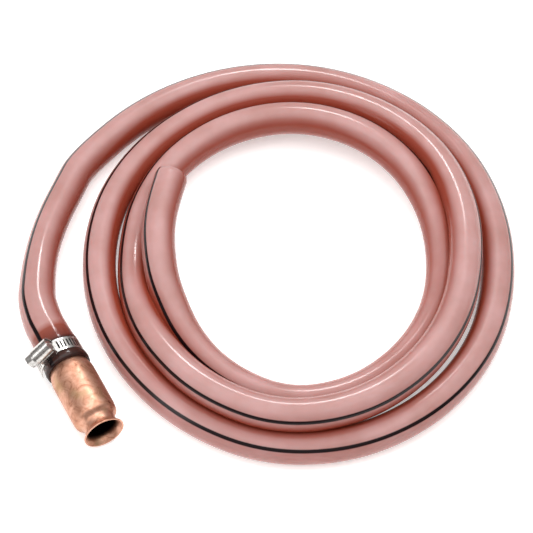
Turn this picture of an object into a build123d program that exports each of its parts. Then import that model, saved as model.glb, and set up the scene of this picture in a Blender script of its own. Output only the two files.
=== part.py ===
"""Self-priming siphon: a copper jiggle valve clamped into one end of a soft clear hose.

Frame, in millimetres: the origin is the centre of the valve's mouth, +Y runs along the
valve's axis into the hose, +Z is up. The siphon lies on a level surface at z = FLOOR.
"""
from build123d import *
from math import cos, degrees, pi, radians, sin, sqrt, tan
import os

os.makedirs("parts", exist_ok=True)

# ---- Driving dimensions: hose ---------------------------------------------------------
HOSE_OD = 19.05
HOSE_BORE = 12.7
HOSE_GRIP = 24.0            # length of hose pushed over the valve's neck
CUFF_TAPER = 9.0            # length over which the hose falls back to its own size

# ---- Driving dimensions: valve ----------------------------------------------------------
BODY_OD = 25.4
BODY_WALL = 1.0
BODY_LENGTH = 46.0          # mouth to the hose's cut end
THROAT_STEP = 3.5           # how far the throat is set in from the body, all round
MOUTH_FLARE = 2.5           # how far the mouth opens out from the throat, all round
THROAT_START = 4.0
THROAT_LENGTH = 4.4
SHOULDER_LENGTH = 3.4
NECK_CONE_LENGTH = 5.0
NECK_STEP = 1.4             # how far the neck is set in from the body, all round
NECK_TAPER = 2.3            # how far the neck narrows to its inner end, all round
BALL_SIDE_GAP = 0.8         # from the ball to the neck's wall
BALL_CLEARANCE = 0.25
STOP_PIN_OD = 2.5
STOP_PIN_SETBACK = 8.5      # behind the hose's cut end
STOP_PIN_CLEARANCE = 0.05

# ---- Driving dimensions: worm-drive clamp -----------------------------------------------
BAND_WIDTH = 8.0
BAND_THICKNESS = 0.6
BAND_SQUEEZE = 0.58         # how far the band presses into the hose
BAND_SETBACK = 5.5          # behind the hose's cut end
BAND_SIDE_GAP = 0.2
SLOT_PITCH = 2.05
SLOT_WIDTH = 0.95
SLOT_LENGTH = 5.0
SLOTS_BEFORE = 8            # slots showing on the band before it enters the housing
SLOTS_AFTER = 4             # slots showing on the band's free end
HOUSING_ANGLE = 38.0        # of the screw housing, from straight up towards -X
HOUSING_LENGTH = 11.0
HOUSING_WALL = 0.8
WORM_OD = 7.0
WORM_DEPTH = 0.6
WORM_CLEARANCE = 0.3
SCREW_HEX = 7.0
SCREW_HEAD_LENGTH = 4.0
SCREW_COLLAR_OD = 8.6
SCREW_COLLAR_LENGTH = 0.9
SCREW_SLOT_WIDTH = 1.1
SCREW_SLOT_DEPTH = 1.6
SADDLE_WALL = 0.6
SADDLE_CLEARANCE = 0.1
SADDLE_SETBACK = 0.3        # from each end of the housing
OVERLAP_BEFORE = 40.0       # degrees of doubled band before the middle of the housing
TAIL_SWEEP = 78.0           # degrees of free band past the middle of the housing
TAIL_LIFT = 2.2             # how far the free end stands off the band
FOOT_GAP = 0.1              # between the housing's feet and the band

# ---- How the hose lies --------------------------------------------------------------------
# The lead, from the flared end to the coil: x, y and the height of the
# hose's centre above the surface it lies on.
LEAD_POINTS = [
    (1.5, 93.0, 12.8),
    (8.2, 107.5, 11.8),
    (16.3, 122.0, 10.9),
    (26.5, 136.2, 10.1),
    (38.5, 149.5, 9.7),
    (52.5, 162.3, 9.525),
]
# The coil, from above: it winds clockwise and inwards. Each row is one turn, as the radius
# of the hose's centre at eight even steps from COIL_START.
COIL_CENTRE = (143.3, 57.7)
COIL_START = 153.0          # degrees, anticlockwise from +X
STEPS_PER_TURN = 8
POINTS_PER_STEP = 2
TURN_RADII = [
    [139.3, 136.6, 133.4, 125.2, 117.6, 122.7, 123.8, 112.0],
    [108.2, 113.3, 115.8, 109.0, 98.6, 104.9, 112.0, 97.4],
    [87.6, 95.0, 97.3, 91.0, 86.5, 90.7, 94.9, 79.4],
]
# How high each step lies above the lowest that the hose can lie, where it rides on others.
TURN_HEIGHTS = [
    [0.0, 0.0, 0.0, 0.0, 0.0, 0.0, 0.0, 0.0],
    [0.0, 0.5, 6.7, 9.9, 15.0, 12.8, 13.8, 12.0],
    [0.0, 3.0, 9.4, 10.0, 0.3, 0.0, 0.2, 3.5],
]
JOINT_STEP = 2 / 3          # where the lead runs into the coil
TAIL_STEP = 23.0            # where the tail leaves the coil
# The tail, from the coil to the hose's open end: x, y and height above the surface.
TAIL_POINTS = [
    (68.3, 66.0, 21.0),
    (73.4, 83.6, 25.5),
    (81.0, 100.6, 28.0),
    (92.0, 116.2, 29.5),
    (104.0, 129.3, 31.0),
]

# ---- Worked out -----------------------------------------------------------------------
hose_radius = HOSE_OD / 2
bore_radius = HOSE_BORE / 2
hose_section = pi * (hose_radius**2 - bore_radius**2)
neck_radius = BODY_OD / 2 - NECK_STEP
neck_end_radius = neck_radius - NECK_TAPER
throat_radius = BODY_OD / 2 - THROAT_STEP
mouth_radius = throat_radius + MOUTH_FLARE
ball_radius = neck_radius - BODY_WALL - BALL_SIDE_GAP


def stretched_radius(bore):
    """Outer radius of the hose where it is stretched to a bore, its section unchanged."""
    return sqrt(bore**2 + hose_section / pi)


def neck_radius_at(setback):
    """Outer radius of the valve's tapered neck, a distance behind the hose's cut end."""
    return neck_radius + (neck_end_radius - neck_radius) * setback / HOSE_GRIP


FLOOR = -stretched_radius(neck_radius)
band_inner_radius = stretched_radius(neck_radius_at(BAND_SETBACK + BAND_WIDTH / 2)) - BAND_SQUEEZE


def along_series(values, step):
    """The value at a fractional step of an even series, on a smooth curve through it."""
    i = min(int(step), len(values) - 2)
    a, b, c, d = values[max(i - 1, 0)], values[i], values[i + 1], values[min(i + 2, len(values) - 1)]
    s = step - i
    square = a - 2.5 * b + 2 * c - 0.5 * d
    cube = 1.5 * (b - c) + 0.5 * (d - a)
    return b + 0.5 * (c - a) * s + square * s**2 + cube * s**3


def coil_radius(step):
    """Radius of the hose's centre at a step of the coil, counted through all its turns."""
    return along_series([r for turn in TURN_RADII for r in turn], step)


def coil_point(step, radius):
    """The point at a radius from the coil's centre, in the direction of a step."""
    angle = radians(COIL_START - step * 360 / STEPS_PER_TURN)
    return (COIL_CENTRE[0] + radius * cos(angle), COIL_CENTRE[1] + radius * sin(angle))


def even_steps(first, last):
    """Steps from first to last, evenly spaced, POINTS_PER_STEP to a step or a little more."""
    count = int((last - first) * POINTS_PER_STEP) + 1
    return [first + (last - first) * i / count for i in range(count + 1)]


def corner_radii(points):
    """For each corner of a route, the arc that its two runs leave room for."""
    found = []
    for before, corner, after in zip(points, points[1:], points[2:]):
        arriving = Vector(*corner) - Vector(*before)
        leaving = Vector(*after) - Vector(*corner)
        turn = radians(arriving.get_angle(leaving))
        found.append(0.45 * min(arriving.length, leaving.length) / tan(turn / 2))
    return found


# ---- Valve body: one formed copper tube ---------------------------------------------------
throat_end = THROAT_START + THROAT_LENGTH
shoulder_end = throat_end + SHOULDER_LENGTH
cone_start = BODY_LENGTH - NECK_CONE_LENGTH
stop_pin_y = BODY_LENGTH + STOP_PIN_SETBACK

with BuildPart() as valve_body:
    with BuildSketch(Plane.XY):
        with BuildLine():
            outside = FilletPolyline(
                (mouth_radius, 0),
                (throat_radius, THROAT_START),
                (throat_radius, throat_end),
                (BODY_OD / 2, shoulder_end),
                (BODY_OD / 2, cone_start),
                (neck_radius, BODY_LENGTH),
                (neck_end_radius, BODY_LENGTH + HOSE_GRIP),
                radius=[1.6, 1.6, 2.4, 4.0, 4.0],
            )
            offset(outside, amount=BODY_WALL, side=Side.LEFT)
        make_face()
    revolve(axis=Axis.Y)
    split(bisect_by=Plane.XZ, keep=Keep.BOTTOM)
    with BuildSketch(Plane.YZ):
        with Locations((stop_pin_y, 0)):
            Circle(STOP_PIN_OD / 2 + STOP_PIN_CLEARANCE)
    extrude(amount=BODY_OD, both=True, mode=Mode.SUBTRACT)

# ---- Ball and the pin that stops it --------------------------------------------------------
ball_open_y = stop_pin_y - STOP_PIN_OD / 2 - BALL_CLEARANCE - ball_radius

with BuildPart() as valve_ball:
    with Locations((0, ball_open_y, 0)):
        Sphere(ball_radius)

pin_reach = neck_radius_at(STOP_PIN_SETBACK + STOP_PIN_OD / 2) - 0.1
with BuildPart() as ball_stop_pin:
    with BuildSketch(Plane.YZ.offset(-pin_reach)):
        with Locations((stop_pin_y, 0)):
            Circle(STOP_PIN_OD / 2)
    extrude(amount=2 * pin_reach)

# ---- Hose: the flared end that grips the neck ---------------------------------------------
band_start = BODY_LENGTH + BAND_SETBACK
band_end = band_start + BAND_WIDTH
cuff_end = BODY_LENGTH + HOSE_GRIP
edge_before = stretched_radius(neck_radius_at(BAND_SETBACK - BAND_SIDE_GAP))
edge_after = stretched_radius(neck_radius_at(BAND_SETBACK + BAND_WIDTH + BAND_SIDE_GAP))

with BuildPart() as hose_cuff:
    with BuildSketch(Plane.XY):
        with BuildLine():
            Polyline(
                (neck_radius, BODY_LENGTH),
                (-FLOOR, BODY_LENGTH),
                (edge_before, band_start - BAND_SIDE_GAP),
                (band_inner_radius, band_start - BAND_SIDE_GAP),
                (band_inner_radius, band_end + BAND_SIDE_GAP),
                (max(edge_after, band_inner_radius + 0.1), band_end + BAND_SIDE_GAP),
                (stretched_radius(neck_end_radius), cuff_end),
                (hose_radius, cuff_end + CUFF_TAPER),
                (bore_radius, cuff_end + CUFF_TAPER),
                (neck_end_radius, cuff_end),
                (neck_radius, BODY_LENGTH),
            )
        make_face()
    revolve(axis=Axis.Y)

# ---- Hose: the lead, a tube of straight runs and arcs --------------------------------------
lead_end = coil_point(JOINT_STEP, coil_radius(JOINT_STEP))
lead_route = [(0.0, cuff_end + CUFF_TAPER, 0.0)]
lead_route += [(x, y, FLOOR + height) for x, y, height in LEAD_POINTS]
lead_route += [(*lead_end, FLOOR + hose_radius)]
lead_radii = corner_radii(lead_route)

with BuildPart() as hose_lead:
    with BuildLine():
        lead_path = FilletPolyline(*lead_route, radius=lead_radii)
    with BuildSketch(Plane(origin=lead_path @ 0, z_dir=lead_path % 0)):
        Circle(hose_radius)
        Circle(bore_radius, mode=Mode.SUBTRACT)
    sweep()

# ---- Hose: the tail, from the coil to the open end ----------------------------------------
tail_start = coil_point(TAIL_STEP, coil_radius(TAIL_STEP))
tail_start_height = hose_radius + TURN_HEIGHTS[-1][-1]
tail_route = [(*tail_start, FLOOR + tail_start_height)]
tail_route += [(x, y, FLOOR + height) for x, y, height in TAIL_POINTS]
tail_radii = corner_radii(tail_route)

with BuildPart() as hose_tail:
    with BuildLine():
        tail_path = FilletPolyline(*tail_route, radius=tail_radii)
    with BuildSketch(Plane(origin=tail_path @ 0, z_dir=tail_path % 0)):
        Circle(hose_radius)
        Circle(bore_radius, mode=Mode.SUBTRACT)
    sweep()

with BuildPart() as tail_room:
    with BuildLine():
        add(tail_path)
    with BuildSketch(Plane(origin=tail_path @ 0, z_dir=tail_path % 0)):
        Circle(hose_radius)
    sweep()

# ---- Hose: the coil, one closed solid of its outer shape -----------------------------------
outer_steps = even_steps(JOINT_STEP, JOINT_STEP + STEPS_PER_TURN)
inner_steps = even_steps(TAIL_STEP - STEPS_PER_TURN, TAIL_STEP)
outer_outline = [coil_point(s, coil_radius(s) + hose_radius) for s in outer_steps]
inner_outline = [coil_point(s, coil_radius(s) - hose_radius) for s in inner_steps]
heights = [h for turn in TURN_HEIGHTS for h in turn]
low_side_top = FLOOR + HOSE_OD + max(TURN_HEIGHTS[-1][0], TURN_HEIGHTS[1][0])
high_side_top = FLOOR + HOSE_OD + max(heights)
coil_reach = coil_radius(JOINT_STEP) + hose_radius
low_side = coil_point(0, coil_reach)
high_side = coil_point(STEPS_PER_TURN / 2, coil_reach)
slope = Vector(*high_side, high_side_top) - Vector(*low_side, low_side_top)
across = Vector(slope.Y, -slope.X, 0).normalized()

with BuildPart() as hose_coil:
    with BuildSketch(Plane.XY.offset(FLOOR)):
        with BuildLine():
            Spline(*outer_outline)
            Line(outer_outline[-1], outer_outline[0])
        make_face()
        with BuildLine():
            Spline(*inner_outline)
            Line(inner_outline[-1], inner_outline[0])
        make_face(mode=Mode.SUBTRACT)
    extrude(amount=high_side_top - FLOOR)
    top = Plane(origin=(*low_side, low_side_top), x_dir=slope, z_dir=across.cross(slope))
    split(bisect_by=top, keep=Keep.BOTTOM)
    add(tail_room.part, mode=Mode.SUBTRACT)

# ---- Clamp: band, with its slots and its free end ------------------------------------------
band_middle_y = (band_start + band_end) / 2
band_outer_radius = band_inner_radius + BAND_THICKNESS
doubled_radius = band_outer_radius + BAND_THICKNESS
slot_turn = degrees(SLOT_PITCH / doubled_radius)
housing_turn = degrees(HOUSING_LENGTH / 2 / doubled_radius)
clamp_face = Plane(origin=(0, band_start, 0), x_dir=(1, 0, 0), z_dir=(0, 1, 0))


def clamp_direction(angle):
    """In the clamp's face, the direction at an angle from straight up towards -X."""
    return Vector(-sin(radians(angle)), -cos(radians(angle)))


def radial_plane(angle, radius):
    """A plane on the band's middle, facing outwards at an angle from straight up to -X."""
    outward = Vector(-sin(radians(angle)), 0, cos(radians(angle)))
    along = Vector(-cos(radians(angle)), 0, -sin(radians(angle)))
    return Plane(origin=Vector(0, band_middle_y, 0) + outward * radius, x_dir=along, z_dir=outward)


tail_end_angle = HOUSING_ANGLE + TAIL_SWEEP
leave_angle = HOUSING_ANGLE + housing_turn
join_angle = HOUSING_ANGLE - OVERLAP_BEFORE
middle_layer = band_outer_radius + BAND_THICKNESS / 2

with BuildPart() as clamp_band:
    with BuildSketch(clamp_face):
        Circle(band_outer_radius)
        Circle(band_inner_radius, mode=Mode.SUBTRACT)
    extrude(amount=BAND_WIDTH)
    with BuildSketch(clamp_face):
        with BuildLine():
            joins = clamp_direction(join_angle) * (middle_layer - BAND_THICKNESS / 2)
            enters = clamp_direction(HOUSING_ANGLE - housing_turn) * middle_layer
            under = clamp_direction(HOUSING_ANGLE) * middle_layer
            leaves = clamp_direction(leave_angle) * middle_layer
            lifts = clamp_direction((leave_angle + tail_end_angle) / 2) * (middle_layer + TAIL_LIFT / 3)
            ends = clamp_direction(tail_end_angle) * (middle_layer + TAIL_LIFT)
            layer = Spline(joins, enters, under, leaves, lifts, ends)
        trace(layer, line_width=BAND_THICKNESS)
    extrude(amount=BAND_WIDTH)
    with BuildSketch(clamp_face):
        Circle(band_inner_radius)
    extrude(amount=BAND_WIDTH, mode=Mode.SUBTRACT)
    slots_before = [HOUSING_ANGLE - housing_turn - slot_turn * (i + 0.8) for i in range(SLOTS_BEFORE)]
    for angle in slots_before:
        with BuildSketch(radial_plane(angle, band_outer_radius - 2 * BAND_THICKNESS)):
            Rectangle(SLOT_WIDTH, SLOT_LENGTH)
        extrude(amount=4 * BAND_THICKNESS, mode=Mode.SUBTRACT)
    slots_after = [leave_angle + slot_turn * (i + 1.0) for i in range(SLOTS_AFTER)]
    for angle in slots_after:
        with BuildSketch(radial_plane(angle, band_outer_radius + 0.05)):
            Rectangle(SLOT_WIDTH, SLOT_LENGTH)
        extrude(amount=2 * BAND_THICKNESS + TAIL_LIFT, mode=Mode.SUBTRACT)

# ---- Clamp: saddle, folded round the band to hold the housing -------------------------------
worm_radius = WORM_OD / 2
worm_height = doubled_radius + WORM_CLEARANCE + worm_radius
cavity_radius = worm_radius + WORM_CLEARANCE
housing_top = cavity_radius + HOUSING_WALL
housing_foot = worm_height - doubled_radius - FOOT_GAP
inside_half = max(BAND_WIDTH / 2, housing_top) + SADDLE_CLEARANCE
saddle_low = band_inner_radius - SADDLE_WALL
saddle_length = HOUSING_LENGTH - 2 * SADDLE_SETBACK
saddle_high = worm_height

screw_start = radial_plane(HOUSING_ANGLE, worm_height)
screw_axis = screw_start.x_dir
across_screw = Plane(origin=screw_start.origin, x_dir=(0, 1, 0), z_dir=screw_axis)
# In across_screw, X runs along the hose and Y points towards or away from its axis.
out_sign = 1 if across_screw.y_dir.dot(screw_start.z_dir) > 0 else -1

with BuildPart() as clamp_saddle:
    with BuildSketch(across_screw.offset(-saddle_length / 2)):
        with Locations((0, -out_sign * (saddle_high - saddle_low) / 2)):
            Rectangle(2 * (inside_half + SADDLE_WALL), saddle_high - saddle_low)
    extrude(amount=saddle_length)
    with BuildSketch(clamp_face.offset(-saddle_length)):
        Circle(saddle_low)
    extrude(amount=BAND_WIDTH + 2 * saddle_length, mode=Mode.SUBTRACT)
    with BuildSketch(clamp_face.offset(BAND_WIDTH / 2 - inside_half)):
        Circle(band_inner_radius + 2 * HOUSING_LENGTH)
        Circle(band_inner_radius, mode=Mode.SUBTRACT)
    extrude(amount=2 * inside_half, mode=Mode.SUBTRACT)

# ---- Clamp: housing over the screw ------------------------------------------------------
with BuildPart() as clamp_housing:
    with BuildSketch(across_screw.offset(-HOUSING_LENGTH / 2)):
        Circle(housing_top)
        with Locations((0, -out_sign * housing_foot / 2)):
            Rectangle(2 * housing_top, housing_foot)
        Circle(cavity_radius, mode=Mode.SUBTRACT)
        with Locations((0, -out_sign * housing_foot)):
            Rectangle(2 * cavity_radius, 2 * housing_foot, mode=Mode.SUBTRACT)
        with Locations((0, -out_sign * (housing_foot + housing_top))):
            Rectangle(2 * housing_top, 2 * housing_top, mode=Mode.SUBTRACT)
    extrude(amount=HOUSING_LENGTH)

# ---- Clamp: screw, worm and slotted hexagon head -------------------------------------------
worm_start = -HOUSING_LENGTH / 2 + WORM_CLEARANCE
worm_end = HOUSING_LENGTH / 2
collar_end = worm_end + WORM_CLEARANCE + SCREW_COLLAR_LENGTH
thread_count = int((worm_end - worm_start) / SLOT_PITCH)
screw_profile = Plane(origin=screw_start.origin, x_dir=screw_axis, z_dir=screw_start.z_dir)

with BuildPart() as clamp_screw:
    with BuildSketch(screw_profile):
        with BuildLine():
            root = worm_radius - WORM_DEPTH
            edge = [(worm_start, 0), (worm_start, root)]
            for i in range(thread_count):
                edge.append((worm_start + (i + 0.25) * SLOT_PITCH, worm_radius))
                edge.append((worm_start + (i + 0.5) * SLOT_PITCH, worm_radius))
                edge.append((worm_start + (i + 0.9) * SLOT_PITCH, root))
            edge += [(worm_end + WORM_CLEARANCE, root), (worm_end + WORM_CLEARANCE, SCREW_COLLAR_OD / 2)]
            edge += [(collar_end, SCREW_COLLAR_OD / 2), (collar_end, 0)]
            Polyline(*edge, close=True)
        make_face()
    revolve(axis=Axis(screw_start.origin, screw_axis))
    with BuildSketch(across_screw.offset(collar_end)):
        RegularPolygon(SCREW_HEX / 2, 6, major_radius=False)
    extrude(amount=SCREW_HEAD_LENGTH)
    head_end = across_screw.offset(collar_end + SCREW_HEAD_LENGTH)
    with BuildSketch(head_end):
        Rectangle(2 * SCREW_HEX, SCREW_SLOT_WIDTH)
    extrude(amount=-SCREW_SLOT_DEPTH, mode=Mode.SUBTRACT)

# ---- Write every piece ---------------------------------------------------------------------
PIECES = {
    "valve_body": valve_body,
    "valve_ball": valve_ball,
    "ball_stop_pin": ball_stop_pin,
    "hose_cuff": hose_cuff,
    "hose_lead": hose_lead,
    "hose_coil": hose_coil,
    "hose_tail": hose_tail,
    "clamp_band": clamp_band,
    "clamp_saddle": clamp_saddle,
    "clamp_housing": clamp_housing,
    "clamp_screw": clamp_screw,
}
for label, piece in PIECES.items():
    piece.part.label = label
    export_step(piece.part, f"parts/{label}.step")
    box = piece.part.bounding_box()
    print(label, len(piece.part.solids()), "solid(s)", [round(v, 1) for v in (*box.min, *box.max)])

for label, piece, path in (("lead", hose_lead, lead_path), ("tail", hose_tail, tail_path)):
    print(label, "volume over section x length:", round(piece.part.volume / (hose_section * path.length), 4))
print("lead radii", [round(r) for r in lead_radii], "tail radii", [round(r) for r in tail_radii])
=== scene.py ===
"""Looks of a self-priming siphon: a copper ball valve clamped into a loose coil of soft hose.

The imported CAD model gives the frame. The hose, the valve body and the ball are made here as
fine surfaces, and the clamp's CAD pieces get their metal. Lengths are in metres.
"""

import logging
import math
from dataclasses import dataclass
from enum import Enum
from typing import Any, Sequence

import bmesh
import bpy
import numpy as np
from mathutils import Matrix, Vector


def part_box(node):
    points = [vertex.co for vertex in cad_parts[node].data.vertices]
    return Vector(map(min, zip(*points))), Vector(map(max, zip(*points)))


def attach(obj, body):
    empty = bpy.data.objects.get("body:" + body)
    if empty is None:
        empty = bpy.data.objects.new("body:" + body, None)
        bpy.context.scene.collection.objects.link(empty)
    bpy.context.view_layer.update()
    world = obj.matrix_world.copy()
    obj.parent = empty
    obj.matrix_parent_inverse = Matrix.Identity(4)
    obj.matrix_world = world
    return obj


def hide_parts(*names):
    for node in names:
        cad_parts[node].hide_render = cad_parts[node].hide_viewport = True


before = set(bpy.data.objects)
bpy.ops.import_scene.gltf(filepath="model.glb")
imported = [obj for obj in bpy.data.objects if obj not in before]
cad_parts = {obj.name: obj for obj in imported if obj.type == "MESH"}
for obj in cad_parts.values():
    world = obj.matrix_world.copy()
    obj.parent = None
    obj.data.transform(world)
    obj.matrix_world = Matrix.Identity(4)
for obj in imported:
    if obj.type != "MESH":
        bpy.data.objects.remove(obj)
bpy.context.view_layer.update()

LOG = logging.getLogger("siphon")
MM = 0.001
FLOOR = -0.013345


class Slot(Enum):
    """The material slots of the CAD nodes that new surfaces stand for."""

    COPPER = "copper"
    GLASS = "glass_ball"
    HOSE = "hose"


class Body(Enum):
    """The moving bodies that new surfaces ride on."""

    SIPHON = "siphon"
    BALL = "ball"


# ---- Shared helpers ---------------------------------------------------------------------


def linear(colour: str) -> tuple[float, float, float, float]:
    """Turn an sRGB hex colour into linear RGBA.

    Args:
        colour: Six hex digits, with or without a leading hash.

    Returns:
        Linear red, green, blue and an alpha of one.
    """
    digits = colour.lstrip("#")
    parts = [int(digits[i:i + 2], 16) / 255 for i in (0, 2, 4)]
    red, green, blue = [c / 12.92 if c <= 0.04045 else ((c + 0.055) / 1.055) ** 2.4 for c in parts]
    return (red, green, blue, 1.0)


def add_node(
    tree: bpy.types.NodeTree,
    kind: str,
    links: dict[Any, Any] | None = None,
    stops: Sequence[tuple[float, str]] = (),
    **settings: Any,
) -> Any:
    """Add one shader node with its settings, values and links.

    Args:
        tree: The node tree that gets the node.
        kind: The node's type, such as "ShaderNodeMath".
        links: Input name or number to the value or output socket that feeds it.
        stops: For a colour ramp, places from 0 to 1, each with its sRGB hex colour.
        settings: The node's own properties.

    Returns:
        The new node.
    """
    node = tree.nodes.new(kind)
    for name, value in settings.items():
        setattr(node, name, value)
    for key, value in (links or {}).items():
        if isinstance(value, bpy.types.NodeSocket):
            tree.links.new(value, node.inputs[key])
        else:
            node.inputs[key].default_value = value
    if stops:
        elements = node.color_ramp.elements
        while len(elements) < len(stops):
            elements.new(0.5)
        for element, (place, colour) in zip(elements, stops):
            element.position = place
            element.color = linear(colour)
    return node


def new_material(name: str) -> tuple[bpy.types.Material, bpy.types.NodeTree, Any]:
    """Make a node material with a Principled shader.

    Args:
        name: The material's name.

    Returns:
        The material, its node tree and its shader.
    """
    material = bpy.data.materials.new(name)
    material.use_nodes = True
    tree = material.node_tree
    return material, tree, tree.nodes["Principled BSDF"]


def surface(name: str, points: np.ndarray, uv: np.ndarray, material: bpy.types.Material) -> bpy.types.Object:
    """Make a smooth surface without an edge from a grid of points, its faces turned outward.

    The grid is rings by steps round each ring. Each ring closes on itself, and the last ring
    is joined to the first. A face joins four neighbours of the grid. The volume inside is the
    sum of a . (b x c) / 6 over the faces' triangles, and where it is negative all the faces
    are turned over.

    Args:
        name: The piece's name.
        points: Ring by step by 3 array of places.
        uv: (Ring + 1) by (step + 1) by 2 array, its last row and column being the seams'
            second sides.
        material: The surface's material.

    Returns:
        The new object, at the origin.
    """
    rings, steps = points.shape[:2]
    ring, step = np.meshgrid(np.arange(rings), np.arange(steps), indexing="ij")
    after, start, following = (step + 1) % steps, ring * steps, (ring + 1) % rings * steps
    quads = np.stack([start + step, start + after, following + after, following + step], axis=-1)
    quads = quads.reshape(-1, 4)
    a, b, c, d = (points.reshape(-1, 3)[quads[:, k]] for k in range(4))
    volume = (np.einsum("ij,ij->i", a, np.cross(b, c)) + np.einsum("ij,ij->i", a, np.cross(c, d))).sum() / 6
    corners = np.stack(
        [uv[ring, step], uv[ring, step + 1], uv[ring + 1, step + 1], uv[ring + 1, step]], axis=-2
    ).reshape(-1, 2)
    mesh = bpy.data.meshes.new(name)
    mesh.from_pydata(points.reshape(-1, 3).tolist(), [], quads.tolist())
    mesh.uv_layers.new(name="surface").data.foreach_set("uv", corners.ravel())
    mesh.polygons.foreach_set("use_smooth", np.ones(len(quads), dtype=bool))
    mesh.materials.append(material)
    if volume < 0:
        mesh.flip_normals()
    mesh.update()
    thing = bpy.data.objects.new(name, mesh)
    bpy.context.collection.objects.link(thing)
    LOG.info("%s: %d faces round %.1f ml", name, len(quads), abs(volume) * 1e6)
    return thing


def along_series(values: np.ndarray, step: np.ndarray) -> np.ndarray:
    """Read an even series at fractional steps, on the cubic through its entries.

    With s from 0 to 1 between entries b and c, and neighbours a and d, the value is
    b + (c - a) s / 2 + (a - 2.5 b + 2 c - 0.5 d) s^2 + (1.5 (b - c) + 0.5 (d - a)) s^3.

    Args:
        values: The series.
        step: Where to read it, in entries from the first.

    Returns:
        One value for each step.
    """
    last = len(values) - 1
    i = np.minimum(step.astype(int), last - 1)
    a, b, c, d = values[np.maximum(i - 1, 0)], values[i], values[i + 1], values[np.minimum(i + 2, last)]
    s = step - i
    square, cube = a - 2.5 * b + 2 * c - 0.5 * d, 1.5 * (b - c) + 0.5 * (d - a)
    return b + 0.5 * (c - a) * s + square * s**2 + cube * s**3


def smooth_step(x: np.ndarray, low: float, high: float) -> np.ndarray:
    """Rise from 0 at low to 1 at high as t^2 (3 - 2 t), level at both ends.

    Args:
        x: Where to read the curve.
        low: Where it starts to rise.
        high: Where it has risen to 1.

    Returns:
        Values from 0 to 1.
    """
    t = np.clip((x - low) / (high - low), 0.0, 1.0)
    return t * t * (3 - 2 * t)


def paint(nodes: Sequence[str], material: bpy.types.Material) -> None:
    """Give CAD nodes one material in place of their own.

    Args:
        nodes: The nodes' names.
        material: Their new material.
    """
    for name in nodes:
        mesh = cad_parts[name].data
        mesh.materials.clear()
        mesh.materials.append(material)
        LOG.info("%s: %s", name, material.name)


# ---- Finishes ----------------------------------------------------------------------------


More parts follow.
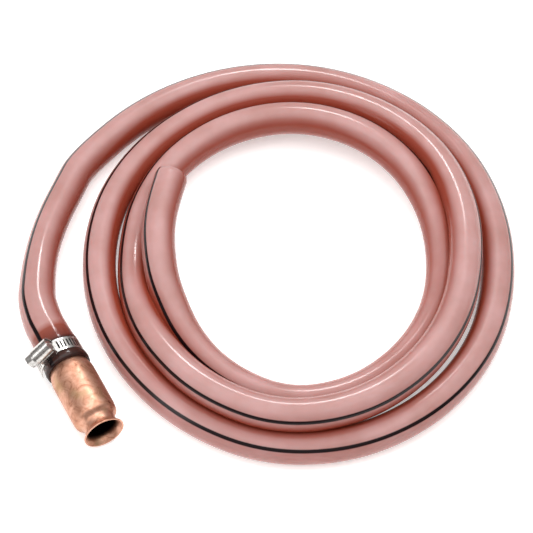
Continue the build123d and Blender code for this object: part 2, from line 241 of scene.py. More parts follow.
@dataclass(frozen=True)
class SoftVinyl:
    """Soft translucent PVC, extruded: milky rose right through, glossy, with a black line."""

    # To the eye: a soft glossy skin over a milky depth. The hose looks pale on top, tan at its
    # sides and brick red where turns lie close and light has gone through more of the wall. The tan and the
    # brick red are painted shade: a per-point share mixes in the brick red on the side towards the coil's
    # middle, a little on the outer side, and near other turns.
    rose: str = "C49996"
    deep: str = "B48680"
    # Painted shade: the brick red mixed in at the hose's sides and near other turns.
    painted_red_shade: str = "96412F"
    stripe: str = "140709"
    passes: tuple[float, float, float, float] = (0.72, 0.2, 0.2, 1.0)
    absorption: float = 170.0
    clear: float = 0.12
    roughness: float = 0.19
    ior: float = 1.5
    shine: float = 0.26
    scatter: float = 0.5
    scatter_depth: float = 3.0 * MM
    cloud_size: float = 26.3 * MM
    # Shares of the way round: the line's width and its place on the surface map.
    stripe_width: float = 0.036
    stripe_place: float = 0.25
    # Painted shade: the dark copper neck seen through the wall, and a painted shadow under the band, from
    # the cut end to here, fading out between.
    neck_end: float = 32.0 * MM
    neck_fade: tuple[float, float] = (23.5 * MM, 27.5 * MM)
    painted_neck_shade: tuple[tuple[float, str], ...] = (
        (0.0, "2E1712"),
        (0.14, "3A1E17"),
        (0.2, "140A09"),
        (0.42, "140A09"),
        (0.5, "682F24"),
        (0.75, "8A4638"),
    )

    def colour(self, tree: bpy.types.NodeTree, coords: Any, line: Any, along: Any, past: Any) -> Any:
        """Lay the hose's tones: rose, painted shade at the sides and near other turns, painted shade over
        the neck and under the band, and the black line.

        Args:
            tree: The material's node tree.
            coords: The texture coordinate node.
            line: Output that is 1 on the black line and 0 beside it.
            along: Output with the distance from the cut end.
            past: Output that rises from 0 over the neck to 1 past it.

        Returns:
            The colour output.
        """
        cloud = add_node(
            tree, "ShaderNodeTexNoise",
            {"Vector": coords.outputs["Object"], "Scale": 1 / self.cloud_size,
             "Detail": 3.0, "Roughness": 0.55},
        )
        plain = add_node(
            tree, "ShaderNodeValToRGB", {"Fac": cloud.outputs["Fac"]},
            stops=[(0.3, self.deep), (0.7, self.rose)],
        )
        # Painted shade: a per-point share, deepest at the sides and near other turns, mixes in the brick
        # red.
        painted_shade = add_node(tree, "ShaderNodeAttribute", attribute_name="painted_shade")
        free = add_node(
            tree, "ShaderNodeMix",
            {0: painted_shade.outputs["Fac"], 6: plain.outputs["Color"], 7: linear(self.painted_red_shade)}, data_type="RGBA",
        )
        over_neck = add_node(
            tree, "ShaderNodeMapRange",
            {"Value": along, "From Min": 0.0, "From Max": self.neck_end, "To Min": 0.0, "To Max": 1.0},
        )
        # Painted shade over the neck: dark where the copper shows through the wall, darkest as painted
        # shadow under the band.
        neck = add_node(tree, "ShaderNodeValToRGB", {"Fac": over_neck.outputs[0]}, stops=self.painted_neck_shade)
        body = add_node(
            tree, "ShaderNodeMix", {0: past, 6: neck.outputs["Color"], 7: free.outputs[2]}, data_type="RGBA"
        )
        return add_node(
            tree, "ShaderNodeMix", {0: line, 6: body.outputs[2], 7: linear(self.stripe)}, data_type="RGBA"
        ).outputs[2]

    def build(self) -> bpy.types.Material:
        """Make the material.

        The line is laid by the surface map's first coordinate and the neck's painted shade by its
        second, the distance from the cut end. A little light goes through the wall and is
        tinted by it, and most is scattered in it. Line and neck let nothing through.

        Returns:
            The material.
        """
        material, tree, shader = new_material("extruded_soft_pvc")
        coords = add_node(tree, "ShaderNodeTexCoord")
        split = add_node(tree, "ShaderNodeSeparateXYZ", {0: coords.outputs["UV"]})
        turn = add_node(tree, "ShaderNodeMath", {0: split.outputs[0]}, operation="FRACT")
        aside = add_node(
            tree, "ShaderNodeMath", {0: turn.outputs[0], 1: self.stripe_place}, operation="SUBTRACT"
        )
        off = add_node(tree, "ShaderNodeMath", {0: aside.outputs[0]}, operation="ABSOLUTE")
        line = add_node(
            tree, "ShaderNodeMapRange",
            {"Value": off.outputs[0], "To Min": 0.0, "To Max": 1.0,
             "From Min": self.stripe_width * 0.62, "From Max": self.stripe_width * 0.4},
        )
        past = add_node(
            tree, "ShaderNodeMapRange",
            {"Value": split.outputs[1], "From Min": self.neck_fade[0], "From Max": self.neck_fade[1],
             "To Min": 0.0, "To Max": 1.0},
        )
        over = add_node(tree, "ShaderNodeMath", {0: 1.0, 1: past.outputs[0]}, operation="SUBTRACT")
        solid = add_node(
            tree, "ShaderNodeMath", {0: line.outputs[0], 1: over.outputs[0]}, operation="MAXIMUM"
        )
        clear = add_node(
            tree, "ShaderNodeMapRange",
            {"Value": solid.outputs[0], "From Min": 0.0, "From Max": 1.0,
             "To Min": self.clear, "To Max": 0.0},
        )
        colour = self.colour(tree, coords, line.outputs[0], split.outputs[1], past.outputs[0])
        tree.links.new(colour, shader.inputs["Base Color"])
        tree.links.new(clear.outputs[0], shader.inputs["Transmission Weight"])
        shader.inputs["Roughness"].default_value = self.roughness
        shader.inputs["IOR"].default_value = self.ior
        shader.inputs["Specular IOR Level"].default_value = self.shine
        shader.inputs["Subsurface Weight"].default_value = self.scatter
        shader.inputs["Subsurface Radius"].default_value = (1.0, 0.35, 0.3)
        shader.inputs["Subsurface Scale"].default_value = self.scatter_depth
        tinted = add_node(
            tree, "ShaderNodeVolumeAbsorption", {"Color": self.passes, "Density": self.absorption}
        )
        tree.links.new(tinted.outputs[0], tree.nodes["Material Output"].inputs["Volume"])
        return material


@dataclass(frozen=True)
class FormedCopper:
    """Bare copper tube, spun and pressed, a little tarnished: warm, satin, with painted shade inside."""

    # To the eye: soft broad highlights on warm pinkish brown, blotched by handling, with a
    # faint olive bloom. Clean patches shine more than tarnished ones. The bore is painted almost black as
    # shade.
    bright: str = "D2A18A"
    worn: str = "BB876E"
    dark: str = "7E5643"
    # Painted shade: the bore's near-black colour.
    inside: str = "2A120B"
    olive: str = "9C8458"
    dull_roughness: float = 0.55
    clean_roughness: float = 0.36
    tarnish_size: float = 6.67 * MM
    bloom_size: float = 13.3 * MM
    # Drawn coarser than real grain, so that it shows.
    grain_size: float = 1.11 * MM
    grain_depth: float = 0.2 * MM
    # Painted shade: the bore's share of the surface map, from the inner end to just behind the lip.
    painted_bore_shade: tuple[float, float, float, float] = (0.49, 0.5, 0.935, 0.958)

    def build(self) -> bpy.types.Material:
        """Make the material: noise gives tarnish and handling marks, the surface map the bore's painted
        shade.

        Returns:
            The material.
        """
        material, tree, shader = new_material("formed_copper")
        coords = add_node(tree, "ShaderNodeTexCoord")
        patches = add_node(
            tree, "ShaderNodeTexNoise",
            {"Vector": coords.outputs["Object"], "Scale": 1 / self.tarnish_size, "Detail": 6.0,
             "Roughness": 0.66, "Distortion": 0.8},
        )
        colour = add_node(
            tree, "ShaderNodeValToRGB", {"Fac": patches.outputs["Fac"]},
            stops=[(0.3, self.dark), (0.42, self.worn), (0.58, self.bright)],
        )
        bloom = add_node(
            tree, "ShaderNodeTexNoise",
            {"Vector": coords.outputs["Object"], "Scale": 1 / self.bloom_size,
             "Detail": 3.0, "Roughness": 0.5},
        )
        spots = add_node(
            tree, "ShaderNodeMapRange",
            {"Value": bloom.outputs["Fac"], "From Min": 0.58, "From Max": 0.72,
             "To Min": 0.0, "To Max": 0.45},
        )
        toned = add_node(
            tree, "ShaderNodeMix",
            {0: spots.outputs[0], 6: colour.outputs["Color"], 7: linear(self.olive)}, data_type="RGBA",
        )
        split = add_node(tree, "ShaderNodeSeparateXYZ", {0: coords.outputs["UV"]})
        # Painted shade: the surface map darkens the bore to near black.
        depth = add_node(
            tree, "ShaderNodeValToRGB", {"Fac": split.outputs[0]},
            stops=list(zip(self.painted_bore_shade, ("000000", "FFFFFF", "FFFFFF", "000000"))),
        )
        whole = add_node(
            tree, "ShaderNodeMix",
            {0: depth.outputs["Color"], 6: toned.outputs[2], 7: linear(self.inside)}, data_type="RGBA",
        )
        gloss = add_node(
            tree, "ShaderNodeMapRange",
            {"Value": patches.outputs["Fac"], "From Min": 0.3, "From Max": 0.7,
             "To Min": self.dull_roughness, "To Max": self.clean_roughness},
        )
        grain = add_node(
            tree, "ShaderNodeTexNoise",
            {"Vector": coords.outputs["Object"], "Scale": 1 / self.grain_size,
             "Detail": 3.0, "Roughness": 0.6},
        )
        bump = add_node(
            tree, "ShaderNodeBump",
            {"Height": grain.outputs["Fac"], "Strength": 0.12, "Distance": self.grain_depth},
        )
        tree.links.new(whole.outputs[2], shader.inputs["Base Color"])
        tree.links.new(gloss.outputs[0], shader.inputs["Roughness"])
        tree.links.new(bump.outputs[0], shader.inputs["Normal"])
        shader.inputs["Metallic"].default_value = 1.0
        return material


@dataclass(frozen=True)
class BrightSteel:
    """Bright rolled or turned steel: cool grey, finely grained, smooth."""

    # To the eye: sharp light and dark bands, a little broken up by the grain.
    name: str
    light: str = "D8D6D2"
    dull: str = "A6A29E"
    roughness: float = 0.22
    # Drawn coarser than real grain, so that it shows.
    grain_size: float = 1.43 * MM
    grain_depth: float = 0.1 * MM

    def build(self) -> bpy.types.Material:
        """Make the material: fine noise gives the metal's grain.

        Returns:
            The material.
        """
        material, tree, shader = new_material(self.name)
        coords = add_node(tree, "ShaderNodeTexCoord")
        grain = add_node(
            tree, "ShaderNodeTexNoise",
            {"Vector": coords.outputs["Object"], "Scale": 1 / self.grain_size,
             "Detail": 4.0, "Roughness": 0.6},
        )
        colour = add_node(
            tree, "ShaderNodeValToRGB", {"Fac": grain.outputs["Fac"]},
            stops=[(0.25, self.dull), (0.65, self.light)],
        )
        bump = add_node(
            tree, "ShaderNodeBump",
            {"Height": grain.outputs["Fac"], "Strength": 0.08, "Distance": self.grain_depth},
        )
        tree.links.new(colour.outputs["Color"], shader.inputs["Base Color"])
        tree.links.new(bump.outputs[0], shader.inputs["Normal"])
        shader.inputs["Metallic"].default_value = 1.0
        shader.inputs["Roughness"].default_value = self.roughness
        return material


@dataclass(frozen=True)
class ClearGlass:
    """A clear glass marble with a faint green cast."""

    # To the eye: a bright bead with sharp reflections and a dim, turned-over view through it.
    tint: str = "DCE8E4"
    roughness: float = 0.03
    ior: float = 1.5
    clear: float = 0.85

    def build(self) -> bpy.types.Material:
        """Make the material.

        Returns:
            The material.
        """
        material, _, shader = new_material("clear_glass")
        shader.inputs["Base Color"].default_value = linear(self.tint)
        shader.inputs["Roughness"].default_value = self.roughness
        shader.inputs["IOR"].default_value = self.ior
        shader.inputs["Transmission Weight"].default_value = self.clear
        return material


# ---- Hose -----------------------------------------------------------------------------------


@dataclass
class Hose:
    """The whole hose: its flared end on the valve's neck, the lead, the coil and the tail."""

    radius: float = 9.525 * MM
    bore_radius: float = 6.35 * MM
    cut_end: float = 46.0 * MM
    grip: float = 24.0 * MM
    ease_lead: float = 2.0 * MM
    ease_run: float = 68.0 * MM
    neck_radius: float = 11.3 * MM
    neck_end_radius: float = 9.0 * MM
    band_setback: float = 5.5 * MM
    band_width: float = 8.0 * MM
    band_radius: float = 12.0 * MM
    # The pinch under the band, and the roll that it pushes up on either side.
    band_slack: float = 0.3 * MM
    pinch_ease: float = 0.5 * MM
    roll_height: float = 0.22 * MM
    roll_setback: float = 1.1 * MM
    roll_spread: float = 0.9 * MM
    # How far the cut edges are rounded off.
    near_lip: float = 0.5 * MM
    near_lip_run: float = 0.8 * MM
    far_lip: float = 0.7 * MM
    ring_spacing: float = 2.5 * MM
    around: int = 56
    steps_per_turn: int = 8
    points_per_step: int = 2
    # The coil's middle in mm, the angle of its step 0 in degrees, and its first and last step.
    coil_centre: tuple[float, float] = (143.3, 57.7)
    coil_start: float = 153.0
    joint_step: float = 2 / 3
    tail_step: float = 23.0
    # How near another turn has to be to add painted shade to a point, and how much of the hose is its own.
    crowding_reach: float = 9.0 * MM
    own_length: float = 0.12
    rings_at_once: int = 24

    # Where the black line lies on the surface map, as a share of the way round.
    STRIPE_PLACE = SoftVinyl.stripe_place

    # The lead's and the tail's points: x, y and height of the centre above the floor, in mm.
    LEAD = (
        (0.0, 79.0, 13.345),
        (1.5, 93.0, 12.8),
        (8.2, 107.5, 11.8),
        (16.3, 122.0, 10.9),
        (26.5, 136.2, 10.1),
        (38.5, 149.5, 9.7),
        (52.5, 162.3, 9.525),
    )
    TAIL = (
        (68.3, 66.0, 21.0),
        (73.4, 83.6, 25.5),
        (81.0, 100.6, 28.0),
        (92.0, 116.2, 29.5),
        (104.0, 129.3, 31.0),
    )
    # One row to a turn of the coil: the centre's radius at eight even steps, in mm.
    TURN_RADII = (
        (139.3, 136.6, 133.4, 125.2, 117.6, 122.7, 123.8, 112.0),
        (108.2, 113.3, 115.8, 109.0, 98.6, 104.9, 112.0, 97.4),
        (87.6, 95.0, 97.3, 91.0, 86.5, 90.7, 94.9, 79.4),
    )
    TURN_HEIGHTS = (
        (0.0, 0.0, 0.0, 0.0, 0.0, 0.0, 0.0, 0.0),
        (0.0, 0.5, 6.7, 9.9, 15.0, 12.8, 13.8, 12.0),
        (0.0, 3.0, 9.4, 10.0, 0.3, 0.0, 0.2, 3.5),
    )
    # Degrees of the black line above level, on the coil's outer side, at each quarter turn.
    # The extrusion's twist carries it up and down a little from turn to turn.
    STRIPE_ANGLES = (46.0, 52.0, 35.0, 45.0, 45.0, 48.0, 25.0, 30.0, 40.0, 46.0, 47.0, 56.0, 40.0, 38.0)

    def route(self) -> np.ndarray:
        """The route's points, in metres: the lead's list, the coil's loop and the tail's list.

        The coil's points lie on a circle whose radius and height change from step to step.

        Returns:
            Point by 3 array of places.
        """
        radii = np.array(self.TURN_RADII).ravel()
        heights = np.array(self.TURN_HEIGHTS).ravel()
        count = int((self.tail_step - self.joint_step) * self.points_per_step) + 1
        steps = np.linspace(self.joint_step, self.tail_step, count + 1)
        angle = np.radians(self.coil_start - steps * 360 / self.steps_per_turn)
        swell = 1 / math.cos(math.pi / (self.steps_per_turn * self.points_per_step))
        reach = along_series(radii, steps) * swell
        coil = np.stack(
            [self.coil_centre[0] + reach * np.cos(angle), self.coil_centre[1] + reach * np.sin(angle),
             self.radius / MM + along_series(heights, steps)], axis=1,
        )
        points = np.concatenate([np.array(self.LEAD), coil, np.array(self.TAIL)]) * MM
        points[:, 2] += FLOOR
        return points

    def centreline(self) -> np.ndarray:
        """Read the hose's centre from a NURBS with the route's points.

        Returns:
            Point by 3 array of evenly spaced places, the first at the cut end.
        """
        route = self.route()
        curve = bpy.data.curves.new("hose_line", "CURVE")
        curve.dimensions = "3D"
        spline = curve.splines.new("NURBS")
        spline.points.add(len(route) - 1)
        spline.points.foreach_set("co", np.c_[route, np.ones(len(route))].ravel())
        spline.order_u = 3
        spline.use_endpoint_u = True
        spline.resolution_u = 12
        holder = bpy.data.objects.new("hose_line", curve)
        bpy.context.collection.objects.link(holder)
        read = bpy.data.meshes.new_from_object(holder.evaluated_get(bpy.context.evaluated_depsgraph_get()))
        line = np.empty(len(read.vertices) * 3)
        read.vertices.foreach_get("co", line)
        bpy.data.meshes.remove(read)
        bpy.data.objects.remove(holder)
        bpy.data.curves.remove(curve)
        start = np.array([[0.0, self.cut_end, 0.0]])
        line = np.concatenate([start, line.reshape(-1, 3)])
        run = np.r_[0.0, np.cumsum(np.linalg.norm(np.diff(line, axis=0), axis=1))]
        spaced = np.linspace(0.0, run[-1], int(run[-1] / self.ring_spacing) + 1)
        return np.stack([np.interp(spaced, run, line[:, k]) for k in range(3)], axis=1)

    def free_radius(self, run: np.ndarray) -> np.ndarray:
        """Outside radius at a distance from the cut end, with no band round the hose.

        Over the neck the wall keeps its section, so its outside follows from the neck's taper
        as sqrt(neck^2 + section). Past the neck it eases down to the hose's own radius.

        Args:
            run: Distances from the cut end.

        Returns:
            A radius for each distance.
        """
        section = self.radius**2 - self.bore_radius**2
        neck = self.neck_radius + (self.neck_end_radius - self.neck_radius) * np.clip(run / self.grip, 0, 1)
        gripping = np.sqrt(neck**2 + section)
        ease = smooth_step(run, self.grip - self.ease_lead, self.grip + self.ease_run)
        return gripping + (self.radius - gripping) * ease

    def outer_radius(self, run: np.ndarray) -> np.ndarray:
        """Outside radius with the band on: pinched under it, with a small roll on either side.

        Args:
            run: Distances from the cut end.

        Returns:
            A radius for each distance.
        """
        free = self.free_radius(run)
        aside = np.abs(run - self.band_setback - self.band_width / 2)
        half = self.band_width / 2 + self.band_slack
        inside = smooth_step(-aside, -half - self.pinch_ease, -half + self.pinch_ease)
        roll = self.roll_height * np.exp(-(((aside - half - self.roll_setback) / self.roll_spread) ** 2))
        lip = self.near_lip * (1 - smooth_step(run, 0.0, self.near_lip_run))
        return free * (1 - inside) + np.minimum(free, self.band_radius) * inside + roll - lip

    def inner_radius(self, run: np.ndarray) -> np.ndarray:
        """Inside radius: what is left inside a wall of unchanged section.

        Args:
            run: Distances from the cut end.

        Returns:
            A radius for each distance.
        """
        section = self.radius**2 - self.bore_radius**2
        return np.sqrt(self.free_radius(run) ** 2 - section)

    def crowding(self, skin: np.ndarray, line: np.ndarray, run: np.ndarray) -> np.ndarray:
        """How close each outside point is to another turn of the hose, from 0 to 1.

        The gap is the distance to the nearest centre that is far enough along the hose, less
        the hose's radius. The result falls from 1 at no gap to 0 at the reach. The rings are
        taken a few at a time, to keep the table of distances small.

        Args:
            skin: Ring by step by 3 array of the outside's points.
            line: The centre's points, one to a ring.
            run: The centre points' distances from the cut end.

        Returns:
            Ring by step array of closeness.
        """
        gap = np.empty(skin.shape[:2])
        for first in range(0, len(skin), self.rings_at_once):
            part = slice(first, first + self.rings_at_once)
            away = np.linalg.norm(skin[part, :, None] - line[None, None], axis=-1)
            own = np.abs(run[part, None] - run[None]) < self.own_length
            gap[part] = np.where(own[:, None, :], 1.0, away).min(axis=-1) - self.radius
        return np.clip(1 - gap / self.crowding_reach, 0.0, 1.0)

    def sides(self, line: np.ndarray, run: np.ndarray) -> tuple[np.ndarray, np.ndarray]:
        """Find the level and the upward direction across the line at each of its points.

        Upward is the world's up less its share along the line. Outward is upward crossed with
        the line's direction, and points away from the coil's middle.

        Args:
            line: The centre's points.
            run: Their distances from the cut end.

        Returns:
            Outward and upward unit vectors, one of each for each point.
        """
        tangent = np.gradient(line, run, axis=0)
        tangent /= np.linalg.norm(tangent, axis=1)[:, None]
        up = np.array([0.0, 0.0, 1.0]) - tangent * tangent[:, 2:3]
        up /= np.linalg.norm(up, axis=1)[:, None]
        return np.cross(up, tangent), up

    def stripe_turn(self, line: np.ndarray) -> np.ndarray:
        """Find how far above level the black line runs, in radians, at each centre point.

        Args:
            line: The centre's points.

        Returns:
            One angle for each point, between the listed ones at each quarter turn.
        """
        aside, ahead = line[:, 0] - self.coil_centre[0] * MM, line[:, 1] - self.coil_centre[1] * MM
        swept = np.unwrap(np.arctan2(ahead, aside) % (2 * math.pi))
        quarter = np.maximum((math.radians(self.coil_start) - swept) / (math.pi / 2), 0.0)
        return np.radians(along_series(np.array(self.STRIPE_ANGLES), quarter))

    def painted_shade(self, turn: np.ndarray, skin: np.ndarray, line: np.ndarray, run: np.ndarray) -> np.ndarray:
        """Find how much painted shade each outside point takes, from 0 to 1.

        The side towards the coil's middle takes most, the side away from it a third as much,
        and points near another turn take more by how close they are.

        Args:
            turn: The angle round the hose of each step, from outward towards upward.
            skin: Ring by step by 3 array of the outside's points.
            line: The centre's points, one to a ring.
            run: The centre points' distances from the cut end.

        Returns:
            Ring by step array of shares.
        """
        # Painted shade: deepest on the lower side towards the coil's middle, a third as much on the outer
        # side.
        inner = 0.95 * smooth_step(-np.cos(turn), 0.25, 1.0) * smooth_step(np.sin(turn), -0.9, 0.1)
        outer = 0.34 * smooth_step(np.cos(turn), 0.55, 1.0)
        return np.clip((inner + outer)[None] + self.crowding(skin, line, run), 0.0, 1.0)

    def build(self, finish: bpy.types.Material) -> bpy.types.Object:
        """Sweep the wall along the centreline: out over the outside, back through the bore.

        Each ring lies in the plane across the line. Its point at turn t is
        centre + radius * (outward cos t + up sin t).

        Args:
            finish: The hose's material.

        Returns:
            The hose's object.
        """
        line = self.centreline()
        run = np.r_[0.0, np.cumsum(np.linalg.norm(np.diff(line, axis=0), axis=1))]
        outward, up = self.sides(line, run)
        turn = np.linspace(0.0, 2 * math.pi, self.around, endpoint=False)
        circle = outward[:, None] * np.cos(turn)[None, :, None] + up[:, None] * np.sin(turn)[None, :, None]
        outer = self.outer_radius(run)
        outer[-1] -= self.far_lip
        outside = line[:, None] + outer[:, None, None] * circle
        inside = line[:, None] + self.inner_radius(run)[:, None, None] * circle
        full_turn = np.linspace(0, 2 * math.pi, self.around + 1)
        u = (full_turn[None] - self.stripe_turn(line)[:, None]) / (2 * math.pi) + self.STRIPE_PLACE
        v = np.repeat(run[:, None], self.around + 1, axis=1)
        out_uv = np.stack([u, v], axis=-1)
        in_uv = np.stack([np.full_like(u, self.STRIPE_PLACE + 0.5), v], axis=-1)
        uv = np.concatenate([out_uv, in_uv[::-1], out_uv[:1]])
        piece = surface("hose", np.concatenate([outside, inside[::-1]]), uv, finish)
        # Painted shade, stored per point for the material to read.
        painted_shade = self.painted_shade(turn, outside, line, run)
        shares = np.concatenate([painted_shade, painted_shade[::-1]])
        piece.data.attributes.new("painted_shade", "FLOAT", "POINT").data.foreach_set("value", shares.ravel())
        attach(piece, Body.SIPHON.value)
        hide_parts("hose_cuff", "hose_lead", "hose_coil", "hose_tail")
        LOG.info("hose: %.3f m, %d rings", run[-1], len(line))
        return piece


# ---- Valve ----------------------------------------------------------------------------------


@dataclass
class Valve:
    """The copper body with its flared mouth, the ball inside it and the pin that stops it."""

    around: int = 192
    profile_steps: int = 150
    lip_steps: int = 7
    ball_segments: int = 96
    # In mm, as the profile is.
    wall: float = 0.8
    tip_bulge: float = 0.5
    # Forming marks, in mm: place along the axis, spread and depth.
    throat_crease: tuple[float, float, float] = (8.6, 1.4, 0.42)
    shoulder_crease: tuple[float, float, float] = (12.2, 1.2, 0.22)

    # The outside of the tube from mouth to inner end: place along the axis and radius, in mm.
    PROFILE = (
        (0.0, 11.7),
        (0.5, 11.66),
        (1.4, 10.85),
        (2.6, 9.95),
        (4.0, 9.5),
        (5.8, 9.4),
        (7.2, 9.5),
        (8.2, 10.1),
        (9.4, 11.6),
        (10.5, 12.4),
        (12.2, 12.66),
        (15.0, 12.69),
        (40.0, 12.69),
        (42.5, 12.4),
        (45.0, 11.6),
        (47.0, 11.25),
        (58.0, 10.2),
        (69.4, 9.1),
    )
    # Dents: place along the axis in mm, angle in radians, length in mm, width in radians, depth in mm.
    DENTS = (
        (24.0, 1.2, 5.0, 0.35, 0.10),
        (31.0, 2.1, 4.0, 0.30, 0.08),
        (19.0, 2.6, 3.0, 0.40, 0.10),
        (35.0, 0.7, 5.0, 0.30, 0.07),
        (28.0, 4.5, 6.0, 0.40, 0.10),
        (17.0, 5.4, 3.0, 0.40, 0.10),
    )

    def outline(self) -> tuple[np.ndarray, np.ndarray]:
        """Round off the listed profile: even steps along it, each the mean of five neighbours.

        Returns:
            Places along the axis and radii, in mm.
        """
        listed = np.array(self.PROFILE)
        run = np.r_[0.0, np.cumsum(np.hypot(*np.diff(listed, axis=0).T))]
        dense = np.linspace(0, run[-1], self.profile_steps)
        y, r = (np.interp(dense, run, listed[:, k]) for k in (0, 1))
        soft = np.ones(5) / 5
        y[2:-2], r[2:-2] = np.convolve(y, soft, "valid"), np.convolve(r, soft, "valid")
        return y, r

    def forming(self, y: np.ndarray, turn: np.ndarray) -> np.ndarray:
        """Work out how deep forming and handling have marked the tube, in mm.

        A crease is depth * bell(y) * (1 + sin(n a + k sin(m a))) / 2 round the tube, and a
        dent is a bell along the axis times a bell round it.

        Args:
            y: Places along the axis, one to a row, in mm.
            turn: Angles round the tube, one to a column.

        Returns:
            Row by column array of depths.
        """
        place, spread, deep = self.throat_crease
        throat = np.exp(-(((y - place) / spread) ** 2)) * (1 + np.sin(7 * turn + 1.4 * np.sin(3 * turn))) / 2
        marks = deep * throat
        place, spread, deep = self.shoulder_crease
        shoulder = np.exp(-(((y - place) / spread) ** 2)) * (1 + np.sin(5 * turn + np.sin(2 * turn + 1))) / 2
        marks = marks + deep * shoulder
        for place, angle, length, width, deep in self.DENTS:
            aside = np.angle(np.exp(1j * (turn - angle)))
            marks = marks + deep * np.exp(-(((y - place) / length) ** 2) - (aside / width) ** 2)
        return marks

    def rolled(self, first: np.ndarray, last: np.ndarray, bulge: float) -> np.ndarray:
        """Join two rings by half-round ones that bulge along the axis.

        Ring k of n lies a share (1 - cos(pi k / n)) / 2 of the way and sin(pi k / n) * bulge out.

        Args:
            first: The ring that is left.
            last: The ring that is reached.
            bulge: How far the middle one stands out, in mm.

        Returns:
            Ring by step by 2 array of places along the axis and radii.
        """
        ease = np.linspace(0, math.pi, self.lip_steps + 2)[1:-1]
        share = ((1 - np.cos(ease)) / 2)[:, None, None]
        rings = first[None] * (1 - share) + last[None] * share
        rings[..., 0] += bulge * np.sin(ease)[:, None]
        return rings

    def build_body(self, finish: bpy.types.Material) -> bpy.types.Object:
        """Spin the tube: along the outside, round the inner end, back inside and over the lip.

        The inside lies one wall's thickness in, square to the outline.

        Args:
            finish: The tube's material.

        Returns:
            The tube's object.
        """
        y, r = self.outline()
        turn = np.linspace(0, 2 * math.pi, self.around, endpoint=False)[None]
        marks = self.forming(y[:, None], turn)
        outside = np.stack([np.repeat(y[:, None], self.around, 1), r[:, None] - marks], axis=-1)
        run_y, run_r = np.gradient(y), np.gradient(r)
        slope, level = run_r / np.hypot(run_y, run_r), run_y / np.hypot(run_y, run_r)
        inner_y = np.clip(y + slope * self.wall, 0.0, y[-1])
        inner_r = (r - level * self.wall)[:, None] - marks
        inside = np.stack([np.repeat(inner_y[:, None], self.around, 1), inner_r], axis=-1)[::-1]
        tip = self.rolled(outside[-1], inside[0], self.tip_bulge)
        lip = self.rolled(inside[-1], outside[0], 0.0)
        grid = np.concatenate([outside, tip, inside, lip])
        along, reach = grid[..., 0], grid[..., 1]
        points = np.stack([reach * np.cos(turn), along, reach * np.sin(turn)], axis=-1) * MM
        rows, columns = np.linspace(0, 1, len(points) + 1), np.linspace(0, 1, self.around + 1)
        uv = np.stack(np.meshgrid(rows, columns, indexing="ij"), axis=-1)
        body = surface("valve_tube", points, uv, finish)
        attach(body, Body.SIPHON.value)
        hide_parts("valve_body")
        return body

    def build_ball(self, finish: bpy.types.Material) -> bpy.types.Object:
        """Make a round ball, closed at its poles, in the CAD ball's place.

        Args:
            finish: The ball's material.

        Returns:
            The ball's object.
        """
        low, high = (np.array(corner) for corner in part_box("valve_ball"))
        width = float(high[1] - low[1])
        mesh = bpy.data.meshes.new("glass_ball")
        shape = bmesh.new()
        bmesh.ops.create_uvsphere(
            shape, u_segments=self.ball_segments, v_segments=self.ball_segments // 2, radius=width / 2,
            matrix=Matrix.Translation(((low + high) / 2).tolist()),
        )
        shape.to_mesh(mesh)
        shape.free()
        mesh.polygons.foreach_set("use_smooth", np.ones(len(mesh.polygons), dtype=bool))
        mesh.materials.append(finish)
        ball = bpy.data.objects.new("glass_ball", mesh)
        bpy.context.collection.objects.link(ball)
        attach(ball, Body.BALL.value)
        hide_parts("valve_ball")
        LOG.info("glass_ball: %.1f mm across", width / MM)
        return ball

    def dress_pin(self, finish: bpy.types.Material) -> None:
        """Give the stop pin's CAD node its metal."""
        paint(["ball_stop_pin"], finish)


# ---- Clamp ----------------------------------------------------------------------------------


@dataclass
class Clamp:
    """The worm-drive clamp, whose four CAD nodes are kept."""

    strip_parts: tuple[str, ...] = ("clamp_band", "clamp_saddle", "clamp_housing")
    turned_parts: tuple[str, ...] = ("clamp_screw",)

    def dress(self, strip: bpy.types.Material, turned: bpy.types.Material) -> None:
        """Give the rolled and the turned pieces their steel.

        Args:
            strip: The material of the band, the saddle and the housing.
            turned: The material of the screw.
        """
        paint(self.strip_parts, strip)
        paint(self.turned_parts, turned)


# ---- Stage ----------------------------------------------------------------------------------


@dataclass(frozen=True)
class SoftBox:
    """One rectangular soft light: its name, place, width and height, and power in watts."""

    name: str
    place: tuple[float, float, float]
    size: tuple[float, float]
    power: float

    def build(self, aim: tuple[float, float, float]) -> None:
        """Put up the light so that it faces a point.

        Args:
            aim: The point.
        """
        data = bpy.data.lights.new(self.name, "AREA")
        data.shape = "RECTANGLE"
        data.size, data.size_y = self.size
        data.energy = self.power
        light = bpy.data.objects.new(self.name, data)
        light.location = self.place
        light.rotation_euler = (Vector(aim) - Vector(self.place)).to_track_quat("-Z", "Y").to_euler()
        bpy.context.collection.objects.link(light)


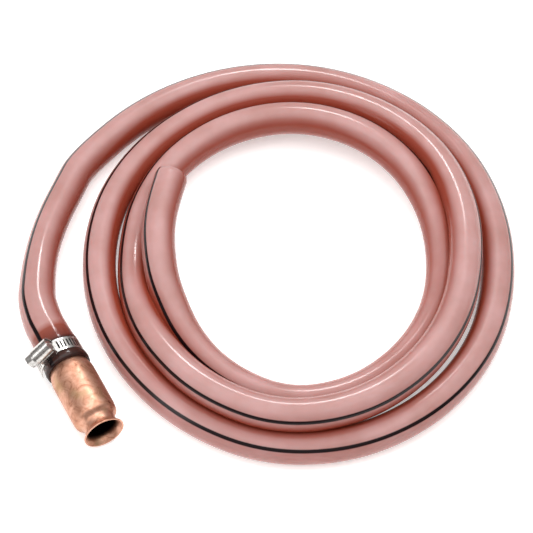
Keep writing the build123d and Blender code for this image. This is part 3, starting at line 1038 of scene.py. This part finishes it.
@dataclass
class Studio:
    """A pale level floor, soft light from above and a camera looking down at the coil."""

    target: tuple[float, float, float] = (0.1300, 0.0610, -0.0038)
    distance: float = 1.593
    azimuth: float = -26.9
    elevation: float = 55.0
    half_view: float = 5.437
    sensor: float = 36.0
    clip: tuple[float, float] = (0.05, 20.0)
    board_tones: tuple[str, str] = ("F4F2F1", "FAF9F8")
    board_glow: float = 0.36
    board_width: float = 12.0
    board_gap: float = 0.2 * MM
    mottle_size: float = 0.5
    sky_tones: tuple[str, str] = ("6E6866", "FFFFFF")
    light_aim: tuple[float, float, float] = (0.14, 0.06, 0.0)

    LIGHTS = (
        SoftBox("overhead", (0.14, 0.1, 1.9), (2.2, 2.2), 27.0),
        SoftBox("back_lamp", (0.70, 1.15, 1.25), (0.2, 0.1), 6.0),
        SoftBox("left_fill", (-1.2, 0.0, 0.9), (0.5, 1.2), 4.0),
    )

    def build_camera(self) -> None:
        """Aim the camera at the target along its azimuth and elevation."""
        a, e = math.radians(self.azimuth), math.radians(self.elevation)
        back = Vector((math.sin(a) * math.cos(e), -math.cos(a) * math.cos(e), math.sin(e)))
        data = bpy.data.cameras.new("camera")
        data.sensor_width = self.sensor
        data.lens = self.sensor / 2 / math.tan(math.radians(self.half_view))
        data.clip_start, data.clip_end = self.clip
        camera = bpy.data.objects.new("camera", data)
        camera.location = Vector(self.target) + back * self.distance
        camera.rotation_euler = (-back).to_track_quat("-Z", "Y").to_euler()
        bpy.context.collection.objects.link(camera)
        bpy.context.scene.camera = camera

    def build_floor(self) -> None:
        """Lay a wide matt board just under the siphon: near white, faintly mottled."""
        material, tree, shader = new_material("pale_matt_board")
        coords = add_node(tree, "ShaderNodeTexCoord")
        mottle = add_node(
            tree, "ShaderNodeTexNoise", {"Vector": coords.outputs["Object"], "Scale": 1 / self.mottle_size}
        )
        colour = add_node(
            tree, "ShaderNodeValToRGB", {"Fac": mottle.outputs["Fac"]},
            stops=[(0.3, self.board_tones[0]), (0.7, self.board_tones[1])],
        )
        tree.links.new(colour.outputs["Color"], shader.inputs["Base Color"])
        shader.inputs["Roughness"].default_value = 0.9
        shader.inputs["Emission Color"].default_value = (1.0, 1.0, 1.0, 1.0)
        shader.inputs["Emission Strength"].default_value = self.board_glow
        bpy.ops.mesh.primitive_plane_add(size=self.board_width, location=(0.1, 0.1, FLOOR - self.board_gap))
        floor = bpy.context.object
        floor.name = "floor"
        floor.data.materials.append(material)

    def build_sky(self) -> None:
        """Light the scene all round, white from above and dim from below."""
        world = bpy.data.worlds.new("world")
        bpy.context.scene.world = world
        world.use_nodes = True
        tree = world.node_tree
        place = add_node(tree, "ShaderNodeTexCoord")
        height = add_node(tree, "ShaderNodeSeparateXYZ", {0: place.outputs["Generated"]})
        sky = add_node(
            tree, "ShaderNodeValToRGB", {"Fac": height.outputs["Z"]},
            stops=[(0.15, self.sky_tones[0]), (0.85, self.sky_tones[1])],
        )
        tree.links.new(sky.outputs["Color"], tree.nodes["Background"].inputs[0])
        tree.nodes["Background"].inputs[1].default_value = 1.0

    def build(self) -> None:
        """Build the camera, the floor, the lights and the sky."""
        self.build_camera()
        self.build_floor()
        for light in self.LIGHTS:
            light.build(self.light_aim)
        self.build_sky()
        bpy.context.scene.view_settings.view_transform = "Standard"
        LOG.info("stage: floor, camera and %d lights", len(self.LIGHTS))


def main() -> None:
    """Build the stage and every piece."""
    logging.basicConfig(level=logging.INFO, format="%(name)s: %(message)s")
    Studio().build()
    Hose().build(SoftVinyl().build())
    copper = FormedCopper().build()
    valve = Valve()
    valve.build_body(copper)
    valve.build_ball(ClearGlass().build())
    valve.dress_pin(copper)
    strip = BrightSteel("rolled_stainless_strip").build()
    turned = BrightSteel("turned_steel", light="CFCDCA", dull="8E8A86", roughness=0.28).build()
    Clamp().dress(strip, turned)


if __name__ == "__main__":
    main()
